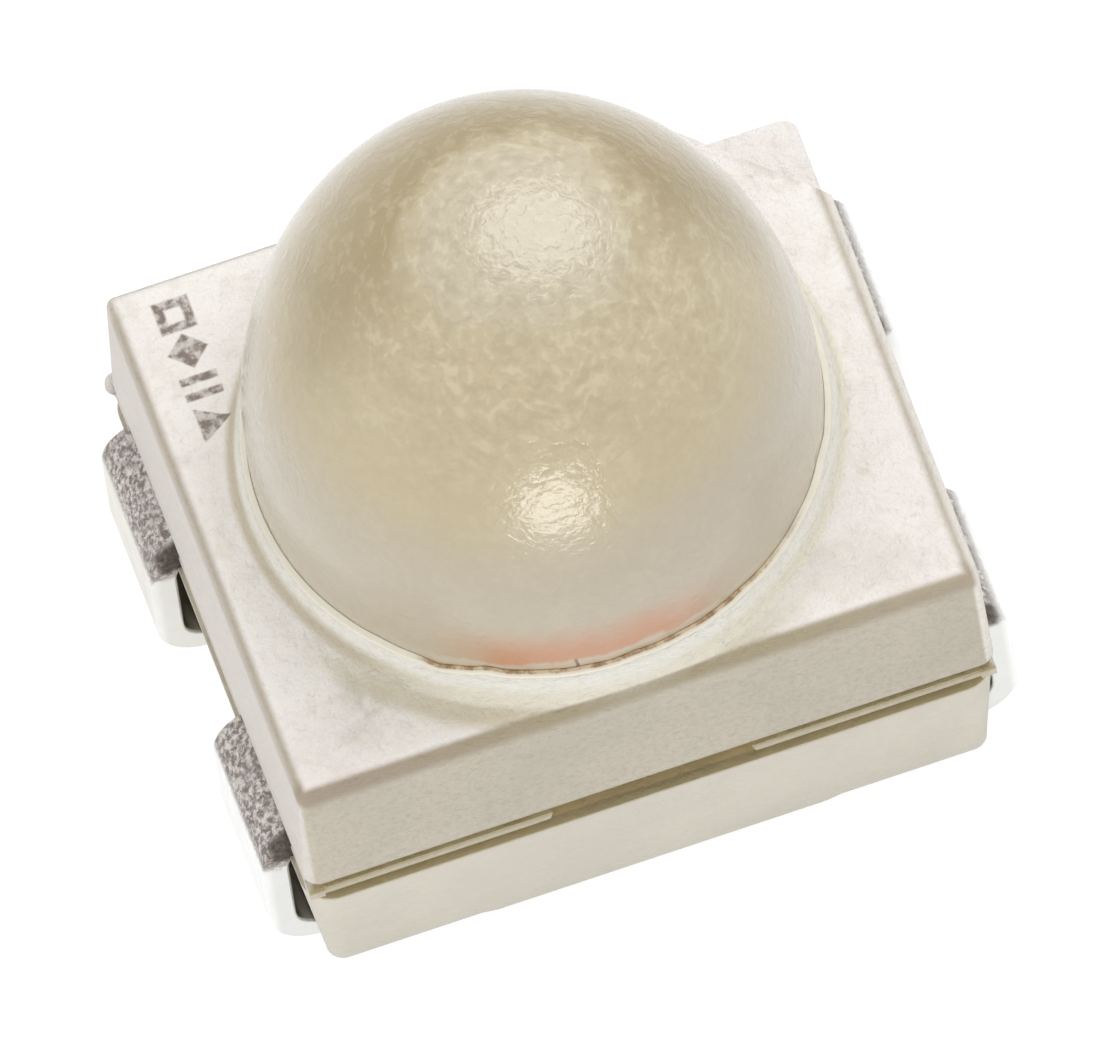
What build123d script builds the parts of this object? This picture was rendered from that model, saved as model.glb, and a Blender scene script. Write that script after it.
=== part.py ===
"""Four-lead surface-mount LED: white moulded housing, folded leads and a tall dome lens.

Lengths are in millimetres. X runs from lead side to lead side, Y from front to back, Z up.
The origin lies under the middle of the part, on the plane of the solder feet.
"""
import math
import os

from build123d import *

# Housing outline at the parting ridge
body_length = 3.2
body_width = 2.8
parting_height = 0.79
upper_height = 0.80
belly_stand_off = 0.02

# Inset of the housing walls from that outline
upper_base_inset = 0.03
top_inset = 0.06
lower_base_inset = 0.02
bottom_inset = 0.10
corner_radius = 0.07
top_edge_radius = 0.07
bottom_edge_radius = 0.05

# Thin ridge in the recessed band between the halves, with its tips left at the corners
band_height = 0.16
band_inset = 0.06
ridge_height = 0.05
ridge_lift = 0.015
ridge_bevel = 0.012
ridge_face_inset = 0.02
ridge_side_inset = 0.03
ridge_tip_length = 0.10

# Underside: belly, shallower ends, foot pockets and gate recess
belly_length = 1.3
end_step = 0.055
end_ramp = 0.17
foot_ceiling_gap = 0.02
foot_side_gap = 0.03
gate_radius = 0.3
gate_depth = 0.05

# Notch in the parting band where the frame was cut free
notch_base_length = 1.05
notch_roof_length = 0.86
notch_depth = 0.16

# Step at one corner that marks the single-lead side
mark_leg = 0.75
mark_floor_height = 0.365

# Reflector cup, lens seat and raised collar
cup_lip_width = 0.055
cup_wall_run = 0.35
seat_depth = 0.03
collar_rise = 0.10
collar_rim_width = 0.018
collar_slope_width = 0.045
collar_foot_radius = 0.06
collar_foot_width = 0.09
collar_edge_margin = 0.02

# Lead frame sheet and its folded leads
sheet_thickness = 0.12
inner_bend_radius = 0.11
lead_span = 3.42
lead_width = 0.685
lead_edge_margin = 0.29
foot_tip_gap = 0.05

# Flat parts of the lead frame inside the housing
pad_left = -1.05
pad_edge_inset = 0.45
pad_side_margin = 0.45
tie_inset = 0.05
lead_gap = 0.18
bond_tongue_length = 0.36
bond_tongue_clearance = 0.25

# Chip, its attach layer and the bond wire
chip_side = 0.34
chip_height = 0.15
attach_margin = 0.02
attach_thickness = 0.012
ball_radius = 0.045
ball_height = 0.022
wire_radius = 0.015
wire_rise = 0.13
wire_bend_radius = 0.08
wire_crest_share = 0.55
stitch_length = 0.09
stitch_inset = 0.16
stitch_depth = 0.13

# Lens and the bond layer under it
lens_side_margin = 0.145
lens_equator_height = 0.35
lens_crown_height = 1.545
lens_crown_draw_in = 0.155
bond_layer_thickness = 0.015
bond_sleeve_width = 0.012
bond_sleeve_drop = 0.012

# Distance within which a corner or edge counts as lying on a level
pick_distance = 1e-4

# Levels and radii that follow from the sizes above
top_level = parting_height + upper_height
seat_level = top_level - seat_depth
rim_level = top_level + collar_rise
band_top = parting_height + band_height / 2
band_bottom = parting_height - band_height / 2
ridge_middle = parting_height + ridge_lift
ridge_bottom = ridge_middle - ridge_height / 2
ridge_top = ridge_middle + ridge_height / 2
sheet_top = ridge_middle + sheet_thickness / 2
sheet_bottom = ridge_middle - sheet_thickness / 2
belly_level = belly_stand_off
end_level = belly_level + end_step
lens_radius = body_width / 2 - lens_side_margin
lens_crown_radius = lens_radius - lens_crown_draw_in
cup_mouth_radius = lens_radius - cup_lip_width
cup_floor_radius = cup_mouth_radius - cup_wall_run
bore_radius = lens_radius + bond_sleeve_width
rim_radius = bore_radius + collar_rim_width
lead_outer = lead_span / 2
foot_tip = belly_length / 2 + foot_tip_gap
lead_pitch = body_width - 2 * lead_edge_margin - lead_width
pad_width = body_width - 2 * pad_side_margin
pad_right = cup_floor_radius - pad_edge_inset
chip_base = sheet_top + attach_thickness
chip_top = chip_base + chip_height
tie_half = pad_right - tie_inset
bond_left = pad_right + lead_gap
bond_front = (lead_width - lead_pitch) / 2 + bond_tongue_clearance


def frustum(inset_low, inset_high, z_low, z_high, radius):
    """Four-sided block with drafted walls and rounded upright edges, sized by its insets."""
    taper = math.degrees(math.atan((inset_high - inset_low) / (z_high - z_low)))
    outline = RectangleRounded(body_length - 2 * inset_low, body_width - 2 * inset_low, radius)
    return extrude(Pos(0, 0, z_low) * outline, z_high - z_low, taper=taper)


def bar(x_low, x_high, y_low, y_high, z_low, z_high):
    """Box given by its limits."""
    size = (x_high - x_low, y_high - y_low, z_high - z_low)
    centre = ((x_low + x_high) / 2, (y_low + y_high) / 2, (z_low + z_high) / 2)
    return Pos(*centre) * Box(*size)


def rim_edges(solid, level):
    """Edges of a solid that lie on one level."""
    return [edge for edge in solid.edges() if abs(edge.center().Z - level) < pick_distance]


def upper_half():
    """Upper half of the housing, drafted, with its top edge rounded over."""
    block = frustum(upper_base_inset, top_inset, band_top, top_level, corner_radius)
    return fillet(rim_edges(block, top_level), top_edge_radius)


def lower_half():
    """Lower half of the housing, drafted the other way, with its bottom edge rounded over."""
    block = frustum(bottom_inset, lower_base_inset, belly_level, band_bottom, corner_radius)
    return fillet(rim_edges(block, belly_level), bottom_edge_radius)


def band_core():
    """Recessed block between the two halves."""
    return frustum(band_inset, band_inset, band_bottom, band_top, corner_radius)


def ridge_layer(length, width, inset_low, inset_high, z_low, z_high):
    """Half of the ridge: a flat block whose walls lean out to its middle."""
    taper = math.degrees(math.atan((inset_high - inset_low) / (z_high - z_low)))
    outline = Rectangle(length - 2 * inset_low, width - 2 * inset_low)
    return extrude(Pos(0, 0, z_low) * outline, z_high - z_low, taper=taper)


def ridge_block(length, width):
    """Flat block of the ridge's height, widest at its middle."""
    lower = ridge_layer(length, width, ridge_bevel, 0, ridge_bottom, ridge_middle)
    upper = ridge_layer(length, width, 0, ridge_bevel, ridge_middle, ridge_top)
    return lower + upper


def parting_ridge():
    """Ridge round the housing, slightly set in, with its tips left at the corners."""
    ridge = ridge_block(body_length - 2 * ridge_side_inset, body_width - 2 * ridge_face_inset)
    tips = ridge_block(body_length, body_width)
    half_length = body_length / 2
    half_width = body_width / 2
    tip_x = half_length - ridge_tip_length
    tip_y = half_width - ridge_tip_length
    tips -= bar(-half_length, half_length, -tip_y, tip_y, ridge_bottom, ridge_top)
    tips -= bar(-tip_x, tip_x, -half_width, half_width, ridge_bottom, ridge_top)
    return ridge + tips


def collar():
    """Raised collar round the lens, sloping out into the top face."""
    rim = (rim_radius, rim_level)
    knee = (rim_radius + collar_slope_width, top_level)
    toe = (knee[0] + collar_foot_width, top_level)
    root_level = seat_level
    outline = Polyline((bore_radius, root_level), (bore_radius, rim_level), rim, knee, toe,
                       (toe[0], root_level), close=True)
    section = make_face(Plane.XZ * outline)
    knee_vertex = min(section.vertices(), key=lambda v: math.hypot(v.X - knee[0], v.Z - knee[1]))
    section = fillet(knee_vertex, collar_foot_radius)
    ring = revolve(section, Axis.Z)
    limit_x = body_length / 2 - top_inset - collar_edge_margin
    limit_y = body_width / 2 - top_inset - collar_edge_margin
    return ring & bar(-limit_x, limit_x, -limit_y, limit_y, root_level, rim_level)


def cup_space():
    """Space of the reflector cup, from the lead frame up to the lens seat."""
    depth = seat_level - sheet_top
    middle = (seat_level + sheet_top) / 2
    return Pos(0, 0, middle) * Cone(cup_floor_radius, cup_mouth_radius, depth)


def seat_space():
    """Space of the lens seat inside the collar."""
    height = rim_level - seat_level
    return Pos(0, 0, seat_level + height / 2) * Cylinder(bore_radius, height)


def corner_mark_space():
    """Space of the corner step that marks polarity."""
    floor = parting_height + mark_floor_height
    corner = (body_length / 2, body_width / 2)
    outline = Polyline((corner[0] - mark_leg, corner[1]), corner, (corner[0], corner[1] - mark_leg),
                       close=True)
    return extrude(Pos(0, 0, floor) * make_face(outline), rim_level - floor)


def parting_notch_space(side):
    """Trapezoid notch in the parting band; side is -1 at the front and 1 at the back."""
    half_base = notch_base_length / 2
    half_roof = notch_roof_length / 2
    outline = Polyline((-half_base, band_bottom), (half_base, band_bottom),
                       (half_roof, band_top), (-half_roof, band_top), close=True)
    wall = side * (body_width / 2 - notch_depth / 2)
    slab = extrude(Plane.XZ * make_face(outline), notch_depth / 2, both=True)
    return Pos(0, wall, 0) * slab


def end_space(side):
    """Space under one of the shallower ends, with a ramp down to the belly."""
    start = belly_length / 2
    outline = Polyline((side * start, belly_level), (side * body_length / 2, belly_level),
                       (side * body_length / 2, end_level), (side * (start + end_ramp), end_level),
                       close=True)
    return extrude(Plane.XZ * make_face(outline), body_width / 2, both=True)


def underside_spaces():
    """Spaces under the shallower ends, the four foot pockets and the gate recess."""
    half_length = body_length / 2
    pocket_roof = sheet_thickness + foot_ceiling_gap
    pocket_half = lead_width / 2 + foot_side_gap
    spaces = Pos(0, 0, belly_level + gate_depth / 2) * Cylinder(gate_radius, gate_depth)
    for side in (-1, 1):
        ends = sorted((side * belly_length / 2, side * half_length))
        spaces += end_space(side)
        for row in (-1, 1):
            middle = row * lead_pitch / 2
            spaces += bar(*ends, middle - pocket_half, middle + pocket_half, belly_level, pocket_roof)
    return spaces


def folded_lead(side, row, inner_end):
    """Lead that leaves the housing, turns down its side and folds back under it."""
    face = side * lead_outer
    inner = side * (lead_outer - sheet_thickness)
    tip = side * foot_tip
    outline = Polyline((inner_end, sheet_top), (face, sheet_top), (face, 0), (tip, 0),
                       (tip, sheet_thickness), (inner, sheet_thickness), (inner, sheet_bottom),
                       (inner_end, sheet_bottom), close=True)
    section = make_face(Plane.XZ * outline)
    outer_corners = [v for v in section.vertices() if abs(v.X - face) < pick_distance]
    section = fillet(outer_corners, inner_bend_radius + sheet_thickness)
    inner_corners = [v for v in section.vertices() if abs(v.X - inner) < pick_distance]
    section = fillet(inner_corners, inner_bend_radius)
    return Pos(0, row * lead_pitch / 2, 0) * extrude(section, lead_width / 2, both=True)


def pad_frame():
    """Lead frame piece with the chip pad, its tie ends and three leads."""
    tie_end = body_width / 2 - notch_depth
    piece = bar(pad_left, pad_right, -pad_width / 2, pad_width / 2, sheet_bottom, sheet_top)
    piece += bar(-tie_half, tie_half, -tie_end, tie_end, sheet_bottom, sheet_top)
    for side, row, inner_end in ((-1, -1, pad_left), (-1, 1, pad_left), (1, -1, pad_right)):
        piece += folded_lead(side, row, inner_end)
    return piece


def bond_frame():
    """Lead frame piece with one lead and the tongue that takes the bond wire."""
    tongue_back = lead_pitch / 2 + lead_width / 2
    tongue_right = bond_left + bond_tongue_length
    piece = bar(bond_left, tongue_right, bond_front, tongue_back, sheet_bottom, sheet_top)
    return piece + folded_lead(1, 1, tongue_right)


def attach_layer():
    """Thin layer that fixes the chip to its pad."""
    side = chip_side + 2 * attach_margin
    return Pos(0, 0, sheet_top + attach_thickness / 2) * Box(side, side, attach_thickness)


def chip():
    """Light-emitting chip."""
    return Pos(0, 0, chip_base + chip_height / 2) * Box(chip_side, chip_side, chip_height)


def bond_wire():
    """Wire with a ball on the chip, a loop, and a flattened stitch on the bond tongue."""
    stitch_x = bond_left + stitch_inset
    stitch_y = bond_front + stitch_depth
    bearing = math.degrees(math.atan2(stitch_y, stitch_x))
    reach = math.hypot(stitch_x, stitch_y)
    loop_top = chip_top + wire_rise
    landing = sheet_top + wire_radius
    ball_top = chip_top + ball_height
    route = FilletPolyline((0, 0, ball_top), (0, 0, loop_top), (wire_crest_share * reach, 0, loop_top),
                           (reach, 0, landing), radius=wire_bend_radius)
    wire = sweep(Plane(origin=route @ 0, z_dir=route % 0) * Circle(wire_radius), path=route)
    ball = Pos(0, 0, chip_top + ball_height / 2) * Cylinder(ball_radius, ball_height)
    stitch = bar(reach - stitch_length / 2, reach + stitch_length / 2, -2 * wire_radius,
                 2 * wire_radius, sheet_top, sheet_top + 2 * wire_radius)
    return Rot(0, 0, bearing) * (wire + ball + stitch)


def housing():
    """White moulded housing, with the lead frame pieces moulded into it."""
    body = upper_half() + band_core() + parting_ridge() + lower_half() + collar()
    body -= cup_space()
    body -= seat_space()
    body -= corner_mark_space()
    body -= underside_spaces()
    for side in (-1, 1):
        body -= parting_notch_space(side)
    return body - pad_frame() - bond_frame()


def cup_filling():
    """Clear filling that buries the chip and its wire and ends level with the lens seat."""
    return cup_space() - attach_layer() - chip() - bond_wire()


def lens_bond():
    """Thin layer under the lens, with a sleeve that rises round the lens foot."""
    sleeve_top = rim_level - bond_sleeve_drop
    layer_top = seat_level + bond_layer_thickness
    outline = Polyline((0, seat_level), (bore_radius, seat_level), (bore_radius, sleeve_top),
                       (lens_radius, sleeve_top), (lens_radius, layer_top), (0, layer_top),
                       close=True)
    return revolve(make_face(Plane.XZ * outline), Axis.Z)


def lens():
    """Tall dome lens: a short straight foot, a long flank arc and a rounder crown arc."""
    foot_level = seat_level + bond_layer_thickness
    equator = top_level + lens_equator_height
    apex = equator + lens_crown_height
    crown_centre = apex - lens_crown_radius
    rise = crown_centre - equator
    flank_radius = ((lens_radius**2 + rise**2 - lens_crown_radius**2)
                    / (2 * (lens_radius - lens_crown_radius)))
    flank_centre = lens_radius - flank_radius
    joint_angle = math.degrees(math.atan2(rise, -flank_centre))
    flank = CenterArc((flank_centre, equator), flank_radius, 0, joint_angle)
    crown = CenterArc((0, crown_centre), lens_crown_radius, joint_angle, 90 - joint_angle)
    sides = Polyline((0, apex), (0, foot_level), (lens_radius, foot_level), (lens_radius, equator))
    return revolve(make_face(Plane.XZ * (flank + crown + sides)), Axis.Z)


def main():
    pieces = {
        "housing": housing,
        "pad_lead_frame": pad_frame,
        "bond_lead_frame": bond_frame,
        "chip_attach": attach_layer,
        "led_chip": chip,
        "bond_wire": bond_wire,
        "cup_filling": cup_filling,
        "lens_bond": lens_bond,
        "dome_lens": lens,
    }
    os.makedirs("parts", exist_ok=True)
    for name, make in pieces.items():
        export_step(make(), f"parts/{name}.step")


main()
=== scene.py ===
"""Looks of the surface-mount LED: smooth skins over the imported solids, materials, light and camera.

Lengths are in millimetres, in the part's own frame, and become metres where a mesh is made.
"""

import math

import bmesh
import bpy
import numpy as np
from mathutils import Matrix, Vector, noise


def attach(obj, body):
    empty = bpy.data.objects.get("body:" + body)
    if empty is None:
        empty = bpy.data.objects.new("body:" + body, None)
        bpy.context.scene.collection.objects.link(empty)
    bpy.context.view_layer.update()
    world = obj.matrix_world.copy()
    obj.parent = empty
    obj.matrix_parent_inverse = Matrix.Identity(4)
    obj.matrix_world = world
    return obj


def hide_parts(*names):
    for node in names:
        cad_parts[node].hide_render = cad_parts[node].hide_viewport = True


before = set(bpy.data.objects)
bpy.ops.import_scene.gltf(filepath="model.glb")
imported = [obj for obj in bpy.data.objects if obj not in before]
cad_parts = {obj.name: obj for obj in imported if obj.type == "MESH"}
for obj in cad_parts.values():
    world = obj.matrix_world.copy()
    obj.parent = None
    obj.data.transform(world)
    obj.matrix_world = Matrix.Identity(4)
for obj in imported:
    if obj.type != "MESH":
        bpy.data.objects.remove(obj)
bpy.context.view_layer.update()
MM = 0.001

# Sizes shared with the part's source
half_length, half_width = 1.6, 1.4
band_bottom, band_top = 0.71, 0.87
ridge_bottom, ridge_top = 0.78, 0.83
seat_level, top_level, rim_level = 1.56, 1.59, 1.69
base_inset, top_inset = 0.03, 0.06
corner_radius, edge_radius = 0.07, 0.07
mark_line, mark_floor = 2.25, 1.155
lens_radius, bore_radius, rim_radius = 1.255, 1.267, 1.285
cup_floor, cup_floor_radius, cup_mouth_radius = 0.865, 0.85, 1.2
lens_foot, lens_equator, lens_apex, lens_crown_radius = 1.575, 1.94, 3.485, 1.1
sheet_top, sheet_bottom, sheet_thickness = 0.865, 0.745, 0.12
lead_outer, lead_half, lead_row, foot_tip, bend = 1.71, 0.3425, 0.7675, 0.70, 0.23

# Fine forms that only the scene has
ledge, crest = 0.728, 1.725
ridge_side_inset, ridge_face_inset = 0.03, 0.02
least_corner_radius = 0.012
floor_edge = 0.012
wall_push, push_from, push_reach, push_drop, push_base = 0.034, 1.40, 0.12, 0.06, 0.35
nub_reach, nub_height, nub_squareness = 0.052, 0.034, 0.6
bead_height, bead_middle = 0.012, math.radians(-78)
lead_edge = 0.012
# the collar's nicks and bumps: direction in degrees from +X, reach in radians, share of the height
collar_dips = ((-128, 0.05, -0.22), (-118, 0.05, 0.16), (-24, 0.04, -0.20), (-31, 0.04, 0.12))
# the collar's slope: distance outside the rim, share of the height
collar_slope = ((-0.006, 1.0), (0.0, 0.985), (0.006, 0.93), (0.020, 0.66), (0.034, 0.36),
                (0.048, 0.20), (0.066, 0.09), (0.088, 0.03), (0.12, 0.0))

# Marking
ink_x, ink_first_y, ink_pitch = -1.285, 1.135, 0.187


# Camera
def make_camera():
    """Parallel camera at the photo's viewing angle and scale."""
    right = Vector((0.9486, -0.3165, -0.0821)).normalized()
    up = Vector((0.3147, 0.8154, 0.4929))
    up = (up - right * up.dot(right)).normalized()
    back = right.cross(up)
    picture_width, pixels_per_mm, distance = 1100, 231.3, 60
    shift_right, shift_up = -2.5 / pixels_per_mm, 3.4 / pixels_per_mm
    centre = Vector((0, 0, 0.825)) + right * shift_right + up * shift_up
    data = bpy.data.cameras.new("camera")
    data.type = "ORTHO"
    data.ortho_scale = picture_width / pixels_per_mm * MM
    data.clip_start = 0.0005
    data.clip_end = 1.0
    cam = bpy.data.objects.new("camera", data)
    cam.matrix_world = Matrix.Translation((centre + back * distance) * MM) @ Matrix(
        (right, up, back)).transposed().to_4x4()
    bpy.context.scene.collection.objects.link(cam)
    bpy.context.scene.camera = cam


# Node helpers
class Look:
    """A material of one Principled shader, with short calls for the nodes that feed it."""

    def __init__(self, name, **plain):
        self.material = bpy.data.materials.new(name)
        self.material.use_nodes = True
        self.tree = self.material.node_tree
        self.tree.nodes.clear()
        self.output = self.tree.nodes.new("ShaderNodeOutputMaterial")
        self.shader = self.tree.nodes.new("ShaderNodeBsdfPrincipled")
        self.tree.links.new(self.shader.outputs[0], self.output.inputs["Surface"])
        self.set(**plain)
        coordinates = self.node("ShaderNodeTexCoord").outputs["Object"]
        self.place = self.vector("SCALE", coordinates, scale=1 / MM)

    def set(self, **values):
        for key, value in values.items():
            self.feed(self.shader.inputs[key.replace("_", " ")], value)

    def feed(self, socket, value):
        if isinstance(value, bpy.types.NodeSocket):
            self.tree.links.new(value, socket)
        elif isinstance(value, (tuple, list)) and socket.type == "RGBA" and len(value) == 3:
            socket.default_value = (*value, 1)
        else:
            socket.default_value = value

    def node(self, kind, **settings):
        made = self.tree.nodes.new(kind)
        for key, value in settings.items():
            setattr(made, key, value)
        return made

    def math(self, operation, a, b=0.0):
        made = self.node("ShaderNodeMath", operation=operation)
        self.feed(made.inputs[0], a)
        self.feed(made.inputs[1], b)
        return made.outputs[0]

    def plus(self, a, b):
        return self.math("ADD", a, b)

    def minus(self, a, b):
        return self.math("SUBTRACT", a, b)

    def times(self, first, *others):
        for other in others:
            first = self.math("MULTIPLY", first, other)
        return first

    def greatest(self, first, *others):
        for other in others:
            first = self.math("MAXIMUM", first, other)
        return first

    def absolute(self, a):
        return self.math("ABSOLUTE", a)

    def vector(self, operation, a, b=None, scale=None):
        made = self.node("ShaderNodeVectorMath", operation=operation)
        self.feed(made.inputs[0], a)
        if b is not None:
            self.feed(made.inputs[1], b)
        if scale is not None:
            self.feed(made.inputs["Scale"], scale)
        return made.outputs["Value" if operation == "LENGTH" else "Vector"]

    def parts(self):
        """X, Y and Z of a place, in millimetres."""
        made = self.node("ShaderNodeSeparateXYZ")
        self.feed(made.inputs[0], self.place)
        return made.outputs[0], made.outputs[1], made.outputs[2]

    def joined(self, x, y, z):
        made = self.node("ShaderNodeCombineXYZ")
        for socket, value in zip(made.inputs, (x, y, z)):
            self.feed(socket, value)
        return made.outputs[0]

    def length(self, x, y):
        return self.vector("LENGTH", self.joined(x, y, 0.0))

    def front_angle(self):
        """Angle round the lens axis in radians, 0 in front and growing towards +X."""
        x, y, _ = self.parts()
        return self.math("ARCTAN2", x, self.times(y, -1.0))

    def noise(self, scale, detail=4.0, rough=0.5, distortion=0.0, vector=None):
        made = self.node("ShaderNodeTexNoise")
        self.feed(made.inputs["Vector"], self.place if vector is None else vector)
        for key, value in (("Scale", scale), ("Detail", detail), ("Roughness", rough),
                           ("Distortion", distortion)):
            self.feed(made.inputs[key], value)
        return made.outputs[0]

    def step(self, value, low, high, to_low=0.0, to_high=1.0):
        """Smooth step of a value from low to high. low may be above high."""
        made = self.node("ShaderNodeMapRange", interpolation_type="SMOOTHSTEP")
        if low > high:
            low, high, to_low, to_high = high, low, to_high, to_low
        for socket, number in zip(made.inputs, (value, low, high, to_low, to_high)):
            self.feed(socket, number)
        return made.outputs[0]

    def mix(self, share, a, b):
        made = self.node("ShaderNodeMix", data_type="RGBA", clamp_factor=True)
        self.feed(made.inputs[6], a)
        self.feed(made.inputs[7], b)
        self.feed(made.inputs[0], share)
        return made.outputs[2]

    def over(self, colour, tint, *masks):
        """A colour with a tint laid over it where all the masks meet."""
        return self.mix(self.times(*masks), colour, tint)

    def bump(self, height, depth):
        """Bump of a height from 0 to 1 over a depth in millimetres."""
        made = self.node("ShaderNodeBump")
        self.feed(made.inputs["Strength"], 1.0)
        self.feed(made.inputs["Distance"], depth * MM)
        self.feed(made.inputs["Height"], height)
        return made.outputs[0]

    def spot(self, x, y, reach_x, reach_y, turn):
        """Soft oval mask round a place in the plan view, 1 at its middle and 0 outside."""
        softness = 0.9
        c, s = math.cos(math.radians(turn)), math.sin(math.radians(turn))
        px, py, _ = self.parts()
        dx, dy = self.minus(px, x), self.minus(py, y)
        u = self.math("DIVIDE", self.plus(self.times(dx, c), self.times(dy, s)), reach_x)
        v = self.math("DIVIDE", self.minus(self.times(dy, c), self.times(dx, s)), reach_y)
        return self.step(self.length(u, v), 1.0, 1.0 - softness)


# Mesh helpers
def piece(name, points, faces, material, replaced):
    """Smooth mesh piece from points in millimetres, riding on the root body."""
    mesh = bpy.data.meshes.new(name)
    mesh.from_pydata([tuple(c * MM for c in p) for p in points], [], faces)
    mesh.validate()
    mesh.update()
    made = bpy.data.objects.new(name, mesh)
    bpy.context.scene.collection.objects.link(made)
    mesh.materials.append(material)
    mesh.shade_smooth()
    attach(made, "root")
    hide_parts(replaced)
    return made


def add_part(points, faces, part):
    """Adds a part, given as (points, faces), to a growing mesh."""
    start = len(points)
    points += part[0]
    faces += [tuple(i + start for i in face) for face in part[1]]


def grid_faces(rows, columns, closed):
    """Faces of a grid of points, listed row by row."""
    faces = []
    for r in range(rows - 1):
        for c in range(columns if closed else columns - 1):
            d = (c + 1) % columns
            faces.append((r * columns + c, r * columns + d, (r + 1) * columns + d,
                          (r + 1) * columns + c))
    return faces


def turned(profile, turns):
    """A profile of (radius, height) turned about the lens axis. Radius 0 closes the form."""
    points, rings = [], []
    for radius, height in profile:
        if radius < 1e-9:
            rings.append([len(points)])
            points.append((0, 0, height))
        else:
            rings.append(list(range(len(points), len(points) + turns)))
            for k in range(turns):
                a = 2 * math.pi * k / turns
                points.append((radius * math.cos(a), radius * math.sin(a), height))
    faces = []
    for low, high in zip(rings, rings[1:]):
        for k in range(turns):
            n = (k + 1) % turns
            if len(low) == 1:
                faces.append((low[0], high[n], high[k]))
            elif len(high) == 1:
                faces.append((low[k], low[n], high[0]))
            else:
                faces.append((low[k], low[n], high[n], high[k]))
    return points, faces


def arc(centre, radius, start, end, count):
    """Points of an arc, angles in degrees, with both its ends."""
    angles = [math.radians(start + (end - start) * k / count) for k in range(count + 1)]
    return [(centre[0] + radius * math.cos(a), centre[1] + radius * math.sin(a)) for a in angles]


def straight(start, end, count):
    """Points of a straight run, without its end."""
    return [(start[0] + (end[0] - start[0]) * k / count, start[1] + (end[1] - start[1]) * k / count)
            for k in range(count)]


def wave(x, y, z, seed=0.0):
    """Smooth noise from -1 to 1 at a place."""
    return noise.noise(Vector((x + 17.3 * seed, y - 9.1 * seed, z + 4.7 * seed)))


# Housing skin
def outline(inset):
    """Stations round the upper half at an inset, in order, with the marked corner cut off."""
    hx, hy = half_length - inset, half_width - inset
    r = max(corner_radius - (inset - base_inset), least_corner_radius)
    path = straight((-hx + r, -hy), (hx - r, -hy), 200)
    path += arc((hx - r, -hy + r), r, -90, 0, 10)[:-1]
    path += straight((hx, -hy + r), (hx, mark_line - hx), 130)
    path += straight((hx, mark_line - hx), (mark_line - hy, hy), 80)
    path += straight((mark_line - hy, hy), (-hx + r, hy), 150)
    path += arc((-hx + r, hy - r), r, 90, 180, 10)[:-1]
    path += straight((-hx, hy - r), (-hx, -hy + r), 180)
    path += arc((-hx + r, -hy + r), r, 180, 270, 10)[:-1]
    return path


def collar_height(radius, angle):
    """Height of the collar above the top face at a radius, with slight waves round it."""
    height = (crest - top_level) * (1 + 0.06 * wave(3 * math.cos(angle), 3 * math.sin(angle), 0, 1))
    for place, reach, dip in collar_dips:
        away = (angle - math.radians(place)) / reach
        height *= 1 + dip * math.exp(-away * away)
    distances, shares = zip(*collar_slope)
    return height * float(np.interp(radius - rim_radius, distances, shares))


def upright(x, z):
    """X of a place on the right wall, which stands almost upright below its rounded edge."""
    near = min(1.0, max(0.0, (x - push_from) / push_reach))
    below = min(1.0, max(0.0, (top_level - z) / push_drop))
    height = (z - band_top) / (top_level - band_top)
    return x + wall_push * near * below * (push_base + (1 - push_base) * height)


def cap_skin():
    """Skin of the upper half: bore wall, collar, top face, rounded edge and drafted wall.

    It is one closed grid: every row has a place for each station of the outline.
    """
    draft = math.atan((top_inset - base_inset) / (top_level - band_top))
    centre_level = top_level - edge_radius
    centre_inset = top_inset - edge_radius * math.tan(draft) + edge_radius / math.cos(draft)
    inner = outline(centre_inset)
    count = len(inner)
    rays = [(math.atan2(y, x), math.hypot(x, y)) for x, y in inner]
    bore_levels = (seat_level, 1.60, 1.65, rim_level - 0.012)
    points = []
    for level in bore_levels:
        points += [(bore_radius * math.cos(a), bore_radius * math.sin(a), level) for a, _ in rays]
    # rings from the bore out to the rounded edge, closest where the collar is
    ring_start = bore_radius + 0.002
    for share in (0.0, 0.03, 0.06, 0.09, 0.12, 0.16, 0.20, 0.24, 0.28, 0.33, 0.38, 0.44, 0.5, 0.56,
                  0.62, 0.68, 0.74, 0.8, 0.86, 0.92, 0.97):
        for a, reach in rays:
            radius = ring_start + (reach - ring_start) * share
            points.append((radius * math.cos(a), radius * math.sin(a), top_level))
    edge_count = 14
    for k in range(edge_count + 1):
        turn = (math.pi / 2 - draft) * k / edge_count
        level = centre_level + edge_radius * math.cos(turn)
        points += [(x, y, level) for x, y in outline(centre_inset - edge_radius * math.sin(turn))]
    wall_top = centre_level + edge_radius * math.sin(draft)
    for share in (0.12, 0.3, 0.5, 0.7, 0.85, 1.0):
        level = wall_top + (band_top - wall_top) * share
        inset = top_inset - (top_level - level) * math.tan(draft)
        points += [(x, y, level) for x, y in outline(inset)]
    # the collar dies away over a fade before it reaches the margin of the top face
    wall_levels, margin, fade = 1.5, 0.06, 0.035
    bore_count = len(bore_levels) * count
    lifted = points[:bore_count]
    for x, y, z in points[bore_count:]:
        if z > wall_levels:
            # the cut corner has no rounded edge, so it has no margin either
            corner = (mark_line - x - y) / math.sqrt(2) + margin
            edge = min(half_length - abs(x), half_width - abs(y), corner)
            stay = min(1.0, max(0.0, (edge - margin) / fade))
            stay = stay * stay * (3 - 2 * stay)
            z += collar_height(math.hypot(x, y), math.atan2(y, x)) * stay
        lifted.append((upright(x, z), y, z))
    return lifted, grid_faces(len(points) // count, count, True)


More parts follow.
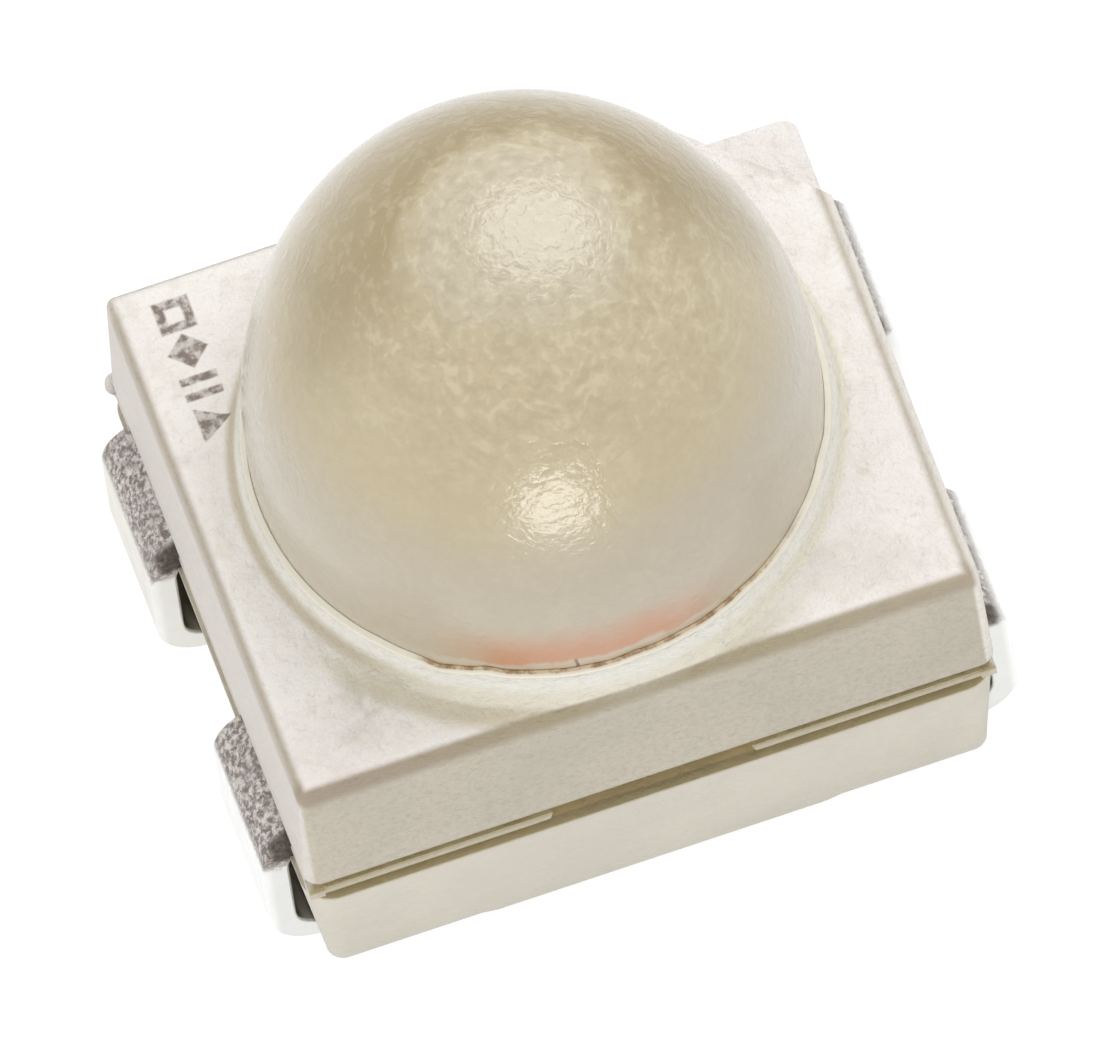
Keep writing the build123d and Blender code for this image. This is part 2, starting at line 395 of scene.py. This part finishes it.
def corner_step():
    """Low block that the corner step leaves: drafted walls and a flat floor."""
    lean = (top_inset - base_inset) / (top_level - band_top)
    wall_top = mark_floor - floor_edge
    rows = [(mark_floor, floor_edge), (mark_floor - 0.004, 0.004), (wall_top, 0.0)]
    rows += [(wall_top + (band_top - wall_top) * k / 6, 0.0) for k in range(1, 7)]
    points = []
    for level, pull in rows:
        inset = base_inset + (level - band_top) * lean + pull
        hx, hy, r = half_length - inset, half_width - inset, corner_radius - pull
        path = straight((hx, mark_line - hx), (hx, hy - r), 24)
        path += arc((hx - r, hy - r), r, 0, 90, 10)
        path += straight((hx - r, hy), (mark_line - hy, hy), 24)[1:] + [(mark_line - hy, hy)]
        points += [(upright(x, level), y, level) for x, y in path]
    count = len(points) // len(rows)
    return points, grid_faces(len(rows), count, False) + [tuple(range(count))]


def ridge_nub(side):
    """Rounded nub of the parting ridge at a back corner. side is -1 at the left, 1 at the right."""
    rows, turns, unevenness = 9, 20, 0.10
    centre_x, centre_y = side * (half_length - nub_reach), half_width - nub_reach
    centre_z = (ridge_bottom + ridge_top) / 2
    points = []
    for r in range(rows + 1):
        tilt = math.pi * (r / rows - 0.5)
        flat = nub_reach * abs(math.cos(tilt)) ** nub_squareness
        height = math.copysign(abs(math.sin(tilt)) ** nub_squareness, tilt) * nub_height
        for k in range(turns):
            a = 2 * math.pi * k / turns
            rough = abs(wave(3 * math.cos(a), 3 * math.sin(a), r, 3 + side))
            grow = 1 if r in (0, rows) else 1 - unevenness * rough
            points.append((centre_x + flat * grow * math.cos(a),
                           centre_y + flat * grow * math.sin(a), centre_z + height))
    return points, grid_faces(rows + 1, turns, True)


def fitted_corner(c):
    """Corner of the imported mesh, with the ridge drawn in and the band's lower lip lifted."""
    if ridge_bottom - 0.002 < c.z < ridge_top + 0.002:
        limit_x, limit_y = half_length - ridge_side_inset, half_width - ridge_face_inset
        return max(-limit_x, min(limit_x, c.x)), max(-limit_y, min(limit_y, c.y)), c.z
    if abs(c.z - band_bottom) < 0.003:
        return c.x, c.y, ledge
    return tuple(c)


def packed_base():
    """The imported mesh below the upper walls, without the cup."""
    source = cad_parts["housing"].data
    points, faces, known = [], [], {}
    for face in source.polygons:
        corners = [source.vertices[i].co / MM for i in face.vertices]
        reach = max(math.hypot(c.x, c.y) for c in corners)
        in_cup = reach < cup_mouth_radius and min(c.z for c in corners) > cup_floor + 0.005
        if in_cup or max(c.z for c in corners) >= band_top + 0.002:
            continue
        ids = []
        for corner in corners:
            place = fitted_corner(corner)
            key = tuple(round(c, 4) for c in place)
            if key not in known:
                known[key] = len(points)
                points.append(place)
            ids.append(known[key])
        if len(set(ids)) == 3:
            faces.append(tuple(ids))
    return points, faces


def make_housing(material):
    """Housing: fine skins for the upper half, cup and corner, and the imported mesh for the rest."""
    cup = [(cup_floor_radius, cup_floor), (cup_floor_radius + 0.012, cup_floor + 0.01),
           (cup_mouth_radius - 0.006, seat_level - 0.01), (cup_mouth_radius, seat_level),
           (bore_radius, seat_level)]
    points, faces = cap_skin()
    for part in (turned(cup, 192), packed_base(), ridge_nub(-1), ridge_nub(1), corner_step()):
        add_part(points, faces, part)
    made = piece("housing_skin", points, faces, material, "housing")
    made.data.set_sharp_from_angle(angle=math.radians(32))


# Lens, bond, filling
def lens_profile():
    """Half outline of the lens: straight foot, bulging flank and round crown, without kinks."""
    foot_edge, foot_top = 0.02, lens_foot + 0.02
    crown_centre = lens_apex - lens_crown_radius
    rise = crown_centre - lens_equator
    flank = (lens_radius**2 + rise**2 - lens_crown_radius**2) / (
        2 * (lens_radius - lens_crown_radius))
    joint = math.degrees(math.atan2(rise, flank - lens_radius))
    sides = [(0, lens_foot), (0.6, lens_foot), (lens_radius - foot_edge, lens_foot),
             (lens_radius - 0.004, lens_foot + 0.004), (lens_radius, foot_top)]
    sides += [(lens_radius, foot_top + (lens_equator - foot_top) * k / 12) for k in range(1, 12)]
    sides += arc((lens_radius - flank, lens_equator), flank, 0, joint, 30)
    sides += arc((0, crown_centre), lens_crown_radius, joint, 90, 70)[1:-1]
    return sides + [(0, lens_apex)]


def make_lens(material):
    points, faces = turned(lens_profile(), 256)
    piece("lens_skin", points, faces, material, "dome_lens")


def make_filling(material):
    gap = 0.004
    profile = [(0, cup_floor + gap), (cup_floor_radius - gap, cup_floor + gap),
               (cup_mouth_radius - gap, seat_level - gap), (0, seat_level - gap)]
    points, faces = turned(profile, 128)
    piece("filling_skin", points, faces, material, "cup_filling")


def make_bond(material):
    """Bond layer with a thin uneven bead round the lens foot."""
    gap = 0.002
    profile = [(0, seat_level + gap), (bore_radius - 0.002, seat_level + gap),
               (bore_radius - 0.001, crest - 0.03), (rim_radius + 0.002, crest - 0.008),
               (rim_radius - 0.004, crest + 0.001), (bore_radius + 0.004, crest + 0.005),
               (lens_radius + 0.006, crest + 0.009), (lens_radius + 0.001, crest + 0.014),
               (lens_radius + 0.0005, crest - 0.03), (lens_radius, lens_foot - gap),
               (0, lens_foot - gap)]
    points, faces = turned(profile, 512)
    lifted = []
    for x, y, z in points:
        if z > crest - 0.01:
            a = math.atan2(y, x)
            front = max(0.0, math.cos(a - bead_middle)) ** 0.7
            uneven = 1 + 1.2 * wave(9 * math.cos(a), 9 * math.sin(a), 0, 2)
            z += front * bead_height * uneven
            z += collar_height(bore_radius, a) - (crest - top_level)
        lifted.append((x, y, z))
    piece("bond_skin", lifted, faces, material, "lens_bond")


# Leads
def lead_section(side, inner_end):
    """Outline of a folded lead in X and Z."""
    inner, small = lead_outer - sheet_thickness, bend - sheet_thickness
    path = [(inner_end, sheet_top)]
    path += arc((lead_outer - bend, sheet_top - bend), bend, 90, 0, 12)
    path += arc((lead_outer - bend, bend), bend, 0, -90, 12)
    path += [(foot_tip, 0.0), (foot_tip, sheet_thickness)]
    path += arc((inner - small, sheet_thickness + small), small, -90, 0, 5)
    path += arc((inner - small, sheet_bottom - small), small, 0, 90, 5)
    path += [(inner_end, sheet_bottom)]
    return [(side * x, z) for x, z in path]


def lead(side, row, inner_end):
    """One folded lead, as a strip of sheet along Y."""
    section = lead_section(side, inner_end)
    n = len(section)
    points = []
    for y in (row * lead_row - lead_half, row * lead_row + lead_half):
        points += [(x, y, z) for x, z in section]
    return points, grid_faces(2, n, True) + [tuple(range(n)), tuple(range(n, 2 * n))[::-1]]


def plate(x0, x1, y0, y1):
    """Flat part of a frame piece, inside the housing."""
    points = [(x, y, z) for z in (sheet_bottom, sheet_top)
              for x, y in ((x0, y0), (x1, y0), (x1, y1), (x0, y1))]
    sides = [(k, (k + 1) % 4, (k + 1) % 4 + 4, k + 4) for k in range(4)]
    return points, [(0, 3, 2, 1), (4, 5, 6, 7)] + sides


def make_leads(name, node, leads, plates, material):
    """Frame piece of leads (side, row, inner end) and plates (x0, x1, y0, y1)."""
    points, faces = [], []
    for part in [lead(*values) for values in leads] + [plate(*values) for values in plates]:
        add_part(points, faces, part)
    made = piece(name, points, faces, material, node)
    mesh = bmesh.new()
    mesh.from_mesh(made.data)
    bmesh.ops.recalc_face_normals(mesh, faces=mesh.faces)
    mesh.to_mesh(made.data)
    mesh.free()
    bevel = made.modifiers.new("edge", "BEVEL")
    bevel.width = lead_edge * MM
    bevel.segments = 3
    bevel.limit_method = "ANGLE"
    bevel.angle_limit = math.radians(50)
    made.data.shade_smooth()
    made.data.set_sharp_from_angle(angle=math.radians(40))


# Materials: the housing's plastic
def wall_colour(look, clouds):
    """Cream walls with fine grit, and painted light and shade: a lower half lighter than the upper
    half, and paler side walls.
    """
    x, _, z = look.parts()
    cloudy = look.step(clouds, 0.35, 0.65)
    grit = look.step(look.noise(42.0, 3, 0.6), 0.46, 0.66)
    upper = look.mix(cloudy, (0.545, 0.51, 0.43), (0.58, 0.54, 0.46))
    upper = look.over(upper, (0.40, 0.36, 0.27), grit, 0.30)
    lower = look.mix(cloudy, (0.62, 0.595, 0.525), (0.65, 0.625, 0.55))
    # painted light and shade: the lower half lighter, the upper half darker
    wall = look.mix(look.step(z, band_bottom + 0.01, band_bottom - 0.01), upper, lower)
    # painted light: the side walls paler than the front, most of all at the right
    left_or_right = look.step(x, -0.1, 0.1)
    pale = look.mix(left_or_right, (0.74, 0.705, 0.665), (0.86, 0.83, 0.79))
    side = look.step(look.absolute(x), half_length - 0.075, half_length - 0.055)
    return look.over(wall, pale, side, look.step(z, band_bottom, band_top))


def top_colour(look, clouds, patches):
    """Pale mottled top face with stains, painted shade at its front right and round the collar, and
    the collar with painted shade on its left flank and a painted highlight on its crest.
    """
    x, y, z = look.parts()
    radius, angle = look.length(x, y), look.front_angle()
    top = look.mix(look.step(clouds, 0.38, 0.62), (0.87, 0.83, 0.815), (0.90, 0.88, 0.855))
    top = look.over(top, (0.72, 0.66, 0.61), look.step(patches, 0.48, 0.72), 0.45)
    # a stain at the front left, painted shade at the front right, and a stain at the front right
    # corner
    for tint, place, patchy, share in (
            ((0.56, 0.50, 0.44), (-1.10, -0.93, 0.19, 0.40, -18), (0.30, 0.60, 0.0, 1.0), 0.58),
            ((0.66, 0.61, 0.56), (1.13, -1.12, 0.40, 0.24, -15), (0.20, 0.60, 0.5, 1.0), 0.55),
            ((0.52, 0.46, 0.40), (1.39, -1.20, 0.10, 0.07, -20), (0.35, 0.60, 0.0, 1.0), 0.45)):
        top = look.over(top, tint, look.spot(*place), look.step(patches, *patchy), share)
    specks = look.step(look.noise(9.0, 3, 0.6), 0.60, 0.72)
    top = look.over(top, (0.60, 0.53, 0.45), specks, look.step(x, 0.7, 1.3), 0.35)
    # olive ring of painted shade outside the collar, strongest in front
    ahead = look.times(look.step(angle, -1.15, -0.80), look.step(angle, 0.75, 0.20))
    ring = look.times(look.step(radius, 1.33, 1.37), look.step(radius, 1.50, 1.42))
    strength = look.plus(0.10, look.times(ahead, 0.90))
    top = look.over(top, (0.64, 0.585, 0.43), ring, strength, 0.75)
    # collar, with painted shade on its left flank and a painted highlight on its crest
    flank = look.times(look.step(angle, -0.55, -1.05), look.step(angle, -2.4, -2.0))
    collar = look.mix(flank, (0.82, 0.78, 0.66), (0.60, 0.54, 0.42))
    top = look.over(top, collar, look.step(radius, 1.372, 1.335))
    lit = look.step(look.noise(3.0, 3, 0.6), 0.2, 0.6, 0.6, 1.0)
    top = look.over(top, (0.93, 0.905, 0.82), look.step(radius, 1.325, 1.300), lit)
    # faint chain of grey spots along the corner step
    from_line = look.absolute(look.minus(look.plus(x, y), mark_line))
    chain = look.times(look.step(from_line, 0.06, 0.0), look.step(patches, 0.42, 0.60))
    on_floor = look.step(z, mark_floor - 0.012, mark_floor - 0.004)
    return look.over(top, (0.55, 0.50, 0.43), chain, on_floor, 0.45)


def top_mask(look):
    """1 on the top face and on the floor of the corner step."""
    x, y, z = look.parts()
    floor = look.times(look.step(look.plus(x, y), mark_line - 0.01, mark_line + 0.01),
                       look.step(z, mark_floor - 0.04, mark_floor - 0.02),
                       look.step(z, mark_floor + 0.014, mark_floor + 0.004))
    return look.greatest(look.step(z, top_level - 0.025, top_level - 0.002), floor)


def with_painted_edge_shade(look, colour):
    """Painted shade on the rounded edge of the top face, for the dark surroundings it reflects,
    strongest along the front and weak at right and back.
    """
    x, y, z = look.parts()
    # painted shade along the rounded edge
    edge = look.times(look.step(z, 1.455, 1.535), look.step(z, 1.591, 1.572))
    strength = look.plus(0.42, look.times(look.step(y, -1.22, -1.29), 0.50))
    tone = look.mix(look.step(x, -1.4, -0.2), (0.36, 0.295, 0.23), (0.375, 0.32, 0.21))
    tone = look.mix(look.step(x, 0.4, 1.5), tone, (0.42, 0.36, 0.27))
    return look.over(colour, tone, edge, strength, look.step(look.length(x, y), 1.30, 1.36),
                     look.step(x, 1.565, 1.535, 0.15, 1.0), look.step(y, 1.28, 1.20, 0.25, 1.0))


def with_parting_band(look, colour):
    """Painted shade in the parting band: olive grooves in front and behind, and a deeper tone in its
    notches.
    """
    x, y, z = look.parts()
    depth_x = look.minus(half_length, look.absolute(x))
    depth_y = look.minus(half_width, look.absolute(y))
    depth = look.math("MINIMUM", depth_x, depth_y)
    facing = look.step(look.minus(depth_x, depth_y), -0.02, 0.02)
    nub = look.times(look.step(look.absolute(x), 1.47, 1.49), look.step(y, 1.27, 1.29))
    band = look.times(look.step(z, ledge - 0.014, ledge - 0.002),
                      look.step(z, band_top + 0.010, band_top - 0.002), look.minus(1.0, nub))
    groove_shade = look.greatest(look.step(z, ledge + 0.030, ledge + 0.008),
                           look.step(z, ridge_top - 0.018, ridge_top - 0.004),
                           look.step(depth, 0.030, 0.050))
    strength = look.plus(0.12, look.times(facing, 0.80))
    # painted shade over the band and in its grooves, strongest on the front and back faces
    colour = look.over(colour, (0.52, 0.47, 0.36), band, facing, 0.75)
    colour = look.over(colour, (0.43, 0.37, 0.23), band, groove_shade, strength)
    # painted shade in the notches
    return look.over(colour, (0.65, 0.555, 0.33), band, look.step(depth, 0.062, 0.075), 0.9)


def with_marking(look, colour):
    """Four plain worn shapes down the left of the top face: frame, diamond, bars and wedge."""
    frame_middle, bar_middle, wedge_slope = 0.060, 0.040, 1.7
    x, y, z = look.parts()
    u = look.minus(x, ink_x)
    shapes = []
    for k, shape in enumerate(("frame", "diamond", "bars", "wedge")):
        v = look.minus(y, ink_first_y - ink_pitch * k)
        au, av = look.absolute(u), look.absolute(v)
        if shape == "frame":
            line = look.absolute(look.minus(look.greatest(au, av), frame_middle))
            shapes.append(look.step(line, 0.030, 0.014))
        elif shape == "diamond":
            shapes.append(look.step(look.plus(au, av), 0.100, 0.082))
        elif shape == "bars":
            bar = look.absolute(look.minus(av, bar_middle))
            shapes.append(look.times(look.step(bar, 0.026, 0.014), look.step(au, 0.090, 0.078)))
        else:
            slope = look.plus(look.times(av, wedge_slope), u)
            shapes.append(look.times(look.step(slope, 0.085, 0.066),
                                     look.step(u, -0.080, -0.066)))
    worn = look.plus(0.35, look.times(look.step(look.noise(22.0, 3, 0.6), 0.35, 0.62), 0.6))
    on_top = look.step(z, top_level - 0.01, top_level - 0.002)
    return look.over(colour, (0.20, 0.155, 0.125), look.greatest(*shapes), worn, on_top)


def plastic_look():
    """White moulded plastic with a fine sandblasted grain, drawn out along the walls."""
    look = Look("housing_plastic", Roughness=0.55, IOR=1.5)
    look.shader.subsurface_method = "RANDOM_WALK"
    look.set(Subsurface_Weight=0.25, Subsurface_Scale=0.00020, Subsurface_Radius=(1.0, 0.85, 0.6))
    z = look.parts()[2]
    clouds = look.noise(1.5, 3, 0.55, 0.4)
    patches = look.noise(6.0, 5, 0.65, 0.4)
    colour = look.mix(top_mask(look), wall_colour(look, clouds), top_colour(look, clouds, patches))
    colour = with_painted_edge_shade(look, colour)
    colour = with_parting_band(look, colour)
    look.set(Base_Color=with_marking(look, colour))
    drawn_out = look.vector("MULTIPLY", look.place, (0.45, 0.45, 1.0))
    grain = look.plus(look.times(look.noise(50.0, 3, 0.65, vector=drawn_out), 0.6),
                      look.times(look.noise(17.0, 3, 0.55, vector=drawn_out), 1.2))
    grain = look.times(grain, look.step(z, ledge - 0.05, band_top, 0.35, 1.0))
    look.set(Normal=look.bump(grain, 0.030), Roughness=look.step(patches, 0.2, 0.8, 0.5, 0.62))
    return look.material


# Materials: the lens
def lens_ripple(look, dx, dy, away):
    """Fine wavelets that run round the crown, with plain noise at its middle."""
    around, outward = 5.0, 23.0
    turn = look.math("ARCTAN2", dx, dy)
    wrapped = look.joined(look.times(look.math("COSINE", turn), around),
                          look.times(look.math("SINE", turn), around), look.times(away, outward))
    rings = look.noise(1.0, 2, 0.5, 0.4, vector=wrapped)
    cells = look.noise(22.0, 2, 0.5, 0.4)
    spread = look.step(away, 0.12, 0.40, 0.0, 0.55)
    return look.plus(look.times(rings, spread), look.times(cells, look.minus(1.0, spread)))


def with_bond_glow(look, colour):
    """Warm bond seen through the front of the foot, a pale strip under it painted as the highlight on
    the lens's rounded bottom edge, and a dark crack.
    """
    _, _, z = look.parts()
    angle = look.front_angle()
    uneven = look.times(look.minus(look.noise(5.0, 4, 0.65), 0.5), 0.30)
    side = look.minus(look.plus(angle, uneven), 0.05)
    low = look.plus(z, look.times(uneven, 0.5))
    glow = look.times(look.step(side, -0.80, -0.40), look.step(side, 0.42, 0.10))
    colour = look.over(colour, (0.62, 0.27, 0.12), glow, look.step(low, 2.13, 1.86), 0.90)
    # painted highlight on the rounded bottom edge of the lens
    strip = look.times(look.step(side, -0.85, -0.65), look.step(side, 0.75, 0.55))
    colour = look.over(colour, (0.66, 0.585, 0.46), look.step(low, 1.815, 1.780), strip, 0.85)
    from_crack = look.absolute(look.plus(angle, look.plus(0.178, look.times(uneven, 0.12))))
    crack = look.times(look.step(from_crack, 0.009, 0.003), look.step(z, 1.815, 1.795))
    return look.over(colour, (0.13, 0.085, 0.05), crack, 0.85)


def lens_look():
    """Hazy resin: a paler foot painted as a reflection of the floor, olive middle with ripples
    painted with glints and shade, a pale crown painted as a highlight, in a darker ring.
    """
    look = Look("lens_resin", IOR=1.5, Coat_Weight=1.0, Coat_Roughness=0.12, Coat_IOR=1.5)
    look.set(Transmission_Weight=0.22)
    x, y, z = look.parts()
    swirl = look.minus(look.noise(3.0, 3, 0.6, 0.8), 0.5)
    clouds = look.noise(1.2, 2, 0.5, 0.4)
    warm = look.mix(clouds, (0.62, 0.525, 0.325), (0.655, 0.56, 0.36))
    pale = look.mix(clouds, (0.57, 0.505, 0.385), (0.595, 0.53, 0.41))
    height = look.plus(z, look.times(swirl, 0.25))
    # painted reflection of the floor: the lower part of the lens greyer than the olive resin above
    colour = look.mix(look.step(height, 2.35, 2.85), pale, warm)
    # pale crown, a painted highlight over the reflection of the lamp above, a little off the axis,
    # and the darker ring behind it
    crown_x, crown_y = 0.07, -0.06
    dx, dy = look.minus(x, crown_x), look.minus(y, crown_y)
    away = look.plus(look.length(dx, dy), look.times(swirl, 0.30))
    crown = look.times(look.step(away, 0.60, 0.36), look.step(z, 2.95, 3.15))
    colour = look.over(colour, (0.65, 0.59, 0.465), crown, 0.58)
    ring = look.times(look.step(away, 0.44, 0.62), look.step(away, 1.25, 0.95),
                      look.step(y, -0.40, 0.15), look.step(x, -0.75, 0.15, 0.70, 1.0))
    colour = look.over(colour, (0.36, 0.27, 0.105), ring, 0.97)
    # ripples, strongest between the crown and the pale foot, with painted glints on their crests and
    # painted shade in their troughs
    ripple = lens_ripple(look, dx, dy, away)
    from_middle = look.absolute(look.minus(away, 0.52))
    ripple_glint_and_shade = look.times(look.step(z, 2.45, 2.85), look.step(from_middle, 0.62, 0.15))
    ripple_glint_and_shade = look.plus(0.07, look.times(ripple_glint_and_shade, 0.26))
    ripple_glint_and_shade = look.times(ripple_glint_and_shade, look.step(ring, 0.0, 1.0, 1.0, 0.45))
    colour = look.over(colour, (0.90, 0.84, 0.62), look.step(ripple, 0.50, 0.64), ripple_glint_and_shade)
    colour = look.over(colour, (0.36, 0.30, 0.19), look.step(ripple, 0.50, 0.38), ripple_glint_and_shade, 0.7)
    look.set(Base_Color=with_bond_glow(look, colour))
    fine = look.noise(60.0, 3, 0.6)
    relief = look.bump(look.plus(ripple, look.times(fine, 0.12)), 0.0075)
    look.set(Normal=relief, Coat_Normal=relief, Roughness=look.step(ripple, 0.3, 0.7, 0.30, 0.42))
    return look.material


# Materials: leads, bond and inside
def tin_look():
    """Tin plate: dark mottling on top of the leads, bright metal elsewhere with outer faces painted
    lighter as painted light, and sheared ends painted near black as painted shade.
    """
    look = Look("tinned_lead", Metallic=1.0)
    x, y, z = look.parts()
    speck = look.noise(34.0, 5, 0.72, 0.3)
    broad = look.noise(7.0, 3, 0.6)
    mottle = look.mix(look.step(speck, 0.40, 0.62), (0.25, 0.21, 0.19), (0.74, 0.70, 0.67))
    mottle = look.over(mottle, (0.42, 0.38, 0.36), look.step(broad, 0.45, 0.65), 0.3)
    # bright metal, streaked and painted lighter on the outer faces as painted light, and tarnished on
    # the back left lead
    bright = look.mix(look.noise(12.0, 4, 0.6), (0.76, 0.76, 0.735), (0.84, 0.84, 0.815))
    drawn_out = look.vector("MULTIPLY", look.place, (1.0, 2.5, 0.35))
    streaks = look.step(look.noise(9.0, 4, 0.6, vector=drawn_out), 0.35, 0.65)
    streaked = look.mix(streaks, (0.91, 0.91, 0.90), (0.975, 0.975, 0.97))
    outer = look.step(look.absolute(x), lead_outer - 0.05, lead_outer - 0.01)
    bright = look.mix(outer, bright, streaked)
    back_left = look.times(look.step(x, -1.0, -1.2), look.step(y, 0.3, 0.6))
    bright = look.over(bright, (0.68, 0.64, 0.52), back_left,
                       look.step(broad, 0.30, 0.70, 0.50, 0.80))
    # the mottling ends lower on the left leads than on the right ones
    level = look.plus(z, look.times(look.minus(speck, 0.5), 0.16))
    top = look.mix(look.step(x, -0.1, 0.1), look.step(level, 0.655, 0.70),
                   look.step(level, 0.72, 0.79))
    colour = look.mix(top, bright, mottle)
    # sheared front end of the flat sheet, painted near black as painted shade
    across = look.minus(look.absolute(x), lead_outer - bend)
    frontwards = look.minus(look.times(look.math("SIGN", y), lead_row), y)
    ends = look.times(look.step(z, sheet_bottom - 0.06, sheet_bottom - 0.01),
                      look.step(across, 0.20, 0.16),
                      look.step(frontwards, lead_half - 0.085, lead_half - 0.045))
    look.set(Base_Color=look.over(colour, (0.07, 0.06, 0.045), ends, 0.85),
             Roughness=look.greatest(look.times(top, 0.55), 0.28))
    relief = look.plus(look.times(speck, top), look.times(look.noise(9.0, 3, 0.5), 0.15))
    look.set(Normal=look.bump(relief, 0.012))
    return look.material


def clear_look():
    """Clear filling of the cup with a little haze."""
    look = Look("clear_filling", Roughness=0.05, IOR=1.45, Transmission_Weight=1.0)
    haze = look.noise(3.0, 2, 0.5)
    look.set(Base_Color=look.mix(haze, (0.97, 0.94, 0.86), (0.93, 0.89, 0.78)))
    return look.material


def bond_look():
    """Cured bond: pale all round, with a brown streaky bead along the front."""
    look = Look("lens_bond", Roughness=0.4, IOR=1.5)
    x, y, _ = look.parts()
    streak = look.noise(14.0, 4, 0.65)
    angle = look.front_angle()
    reach = look.plus(look.length(x, y), look.times(streak, 0.012))
    front = look.times(look.step(angle, -0.76, -0.68), look.step(angle, 0.95, 0.45),
                       look.step(reach, 1.282, 1.274))
    brown = look.mix(look.step(streak, 0.38, 0.62), (0.34, 0.20, 0.09), (0.70, 0.56, 0.38))
    pale = look.mix(streak, (0.80, 0.76, 0.64), (0.90, 0.87, 0.77))
    look.set(Base_Color=look.mix(front, pale, brown))
    return look.material


def grain_look(name, low, high, scale, roughness, metallic=0.0):
    """Plain finish of an inside piece: fine grain between two colours."""
    look = Look(name, Roughness=roughness, Metallic=metallic)
    speck = look.noise(scale, 4, 0.6)
    look.set(Base_Color=look.mix(speck, low, high), Normal=look.bump(speck, 0.003))
    return look.material


# Stage
def seen_rays(tree):
    """1 for the rays of the camera, of mirrors and of glass, and 0 for the light that falls."""
    kinds = tree.nodes.new("ShaderNodeLightPath").outputs
    seen = kinds["Is Camera Ray"]
    for kind in ("Is Glossy Ray", "Is Transmission Ray"):
        either = tree.nodes.new("ShaderNodeMath")
        either.operation = "MAXIMUM"
        tree.links.new(seen, either.inputs[0])
        tree.links.new(kinds[kind], either.inputs[1])
        seen = either.outputs[0]
    return seen


def mixed(tree, share, first, second, output):
    """Mixes two shader nodes by a share and feeds the result to an output node."""
    both = tree.nodes.new("ShaderNodeMixShader")
    tree.links.new(share, both.inputs[0])
    tree.links.new(first.outputs[0], both.inputs[1])
    tree.links.new(second.outputs[0], both.inputs[2])
    tree.links.new(both.outputs[0], output.inputs["Surface"])


def make_floor():
    """Plain pale floor: its emission is what is seen, and its diffuse part keeps the shadow."""
    size, drop = 150, 0.012
    glow_share, glow_strength, paper_tone = 0.85, 1.1, 0.86
    mesh = bpy.data.meshes.new("floor")
    mesh.from_pydata([(x * size * MM, y * size * MM, -drop * MM)
                      for x, y in ((-1, -1), (1, -1), (1, 1), (-1, 1))], [], [(0, 1, 2, 3)])
    floor = bpy.data.objects.new("floor", mesh)
    bpy.context.scene.collection.objects.link(floor)
    material = bpy.data.materials.new("floor_paper")
    material.use_nodes = True
    tree = material.node_tree
    tree.nodes.clear()
    paper = tree.nodes.new("ShaderNodeBsdfDiffuse")
    paper.inputs["Color"].default_value = (paper_tone, paper_tone, paper_tone, 1)
    glow = tree.nodes.new("ShaderNodeEmission")
    glow.inputs["Strength"].default_value = glow_strength
    share = tree.nodes.new("ShaderNodeMath")
    share.operation = "MULTIPLY"
    share.inputs[1].default_value = glow_share
    tree.links.new(seen_rays(tree), share.inputs[0])
    mixed(tree, share.outputs[0], paper, glow, tree.nodes.new("ShaderNodeOutputMaterial"))
    mesh.materials.append(material)


def soft_light(name, place, aim, width, height, radiance, colour=(1, 1, 1)):
    """Oval lamp given by its size in millimetres and by how bright its face is."""
    data = bpy.data.lights.new(name, "AREA")
    data.shape = "ELLIPSE"
    data.size = width * MM
    data.size_y = height * MM
    data.energy = math.pi * radiance * width * height * MM * MM
    data.color = colour
    lamp = bpy.data.objects.new(name, data)
    place, aim = Vector(place), Vector(aim)
    turn = (place - aim).to_track_quat("Z", "Y").to_matrix().to_4x4()
    lamp.matrix_world = Matrix.Translation(place * MM) @ turn
    bpy.context.scene.collection.objects.link(lamp)
    return lamp


def make_light():
    """Soft studio light: a pale tent and lamps above, at the left and low in front."""
    world = bpy.data.worlds.new("tent")
    bpy.context.scene.world = world
    world.use_nodes = True
    tree = world.node_tree
    tree.nodes.clear()
    tent = tree.nodes.new("ShaderNodeBackground")
    tent.inputs["Color"].default_value = (1.0, 0.98, 0.95, 1)
    tent.inputs["Strength"].default_value = 0.76
    white = tree.nodes.new("ShaderNodeBackground")
    white.inputs["Color"].default_value = (1, 1, 1, 1)
    white.inputs["Strength"].default_value = 1.0
    mixed(tree, seen_rays(tree), tent, white, tree.nodes.new("ShaderNodeOutputWorld"))
    soft_light("above", (3.0, 3.3, 11.9), (0, 0, 2.0), 9, 9, 1.95)
    left = soft_light("left", (-12.0, -1.0, 3.4), (0, 0, 1.0), 10, 6, 1.1)
    left.visible_glossy = False
    soft_light("front", (-1.9, -12.9, 1.75), (-0.16, -1.0, 2.4), 6.2, 3.8, 4.6, (1.0, 0.98, 0.95))


make_camera()
make_light()
make_floor()
plastic = plastic_look()
tin = tin_look()
make_housing(plastic)
make_lens(lens_look())
make_filling(clear_look())
make_bond(bond_look())
make_leads("pad_lead_skin", "pad_lead_frame",
           ((-1, -1, 1.05), (-1, 1, 1.05), (1, -1, 0.40)),
           ((-1.05, 0.40, -0.95, 0.95), (-0.35, 0.35, -1.24, 1.24)), tin)
make_leads("bond_lead_skin", "bond_lead_frame",
           ((1, 1, 0.94),), ((0.58, 0.94, -0.175, 1.11),), tin)
for node, look in {
    "chip_attach": grain_look("chip_attach_paste", (0.45, 0.44, 0.42), (0.62, 0.6, 0.57), 40, 0.6),
    "led_chip": grain_look("chip_crystal", (0.42, 0.26, 0.14), (0.62, 0.42, 0.24), 30, 0.35),
    "bond_wire": grain_look("gold_wire", (0.80, 0.55, 0.18), (0.98, 0.76, 0.34), 60, 0.25, 1.0),
}.items():
    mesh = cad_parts[node].data
    mesh.materials.clear()
    mesh.materials.append(look)

bpy.context.scene.view_settings.view_transform = "Standard"
